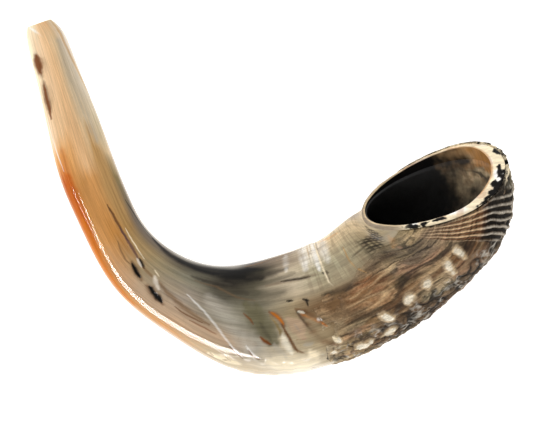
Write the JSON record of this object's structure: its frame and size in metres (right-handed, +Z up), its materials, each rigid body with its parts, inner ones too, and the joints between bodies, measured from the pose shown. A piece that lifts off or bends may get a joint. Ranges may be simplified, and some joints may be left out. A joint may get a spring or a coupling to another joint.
{
  "type": "shofar",
  "caption": "Curved ram's-horn trumpet: a straight tapered neck with a carved blowing end, a polished bend, and a rough ridged bell that opens sideways.",
  "frame": {"origin": "under the middle of the horn's bounding box, on the surface it lies on", "axes": "+Z up from the surface, +X from the blowing end's side towards the bell's side, +Y from the bend towards the two open ends"},
  "size_m": [0.2432, 0.1782, 0.0619],
  "materials": {
    "tip_horn": "polished",
    "neck_horn": "polished",
    "lower_neck_horn": "polished",
    "bend_horn": "polished",
    "waist_horn": "polished",
    "throat_horn": "satin",
    "bell_horn": "satin",
    "rough_horn": "rough, natural",
    "inner_skin": "dull"
  },
  "bodies": {
    "root": {"mouthpiece_tip": "tip_horn", "neck_cone": "neck_horn", "lower_neck_cone": "lower_neck_horn", "bend_cone": "bend_horn", "waist_cone": "waist_horn", "throat_cone": "throat_horn", "bell_cone": "bell_horn", "bell_crust": "rough_horn", "bell_lining": "inner_skin"}
  },
  "joints": []
}
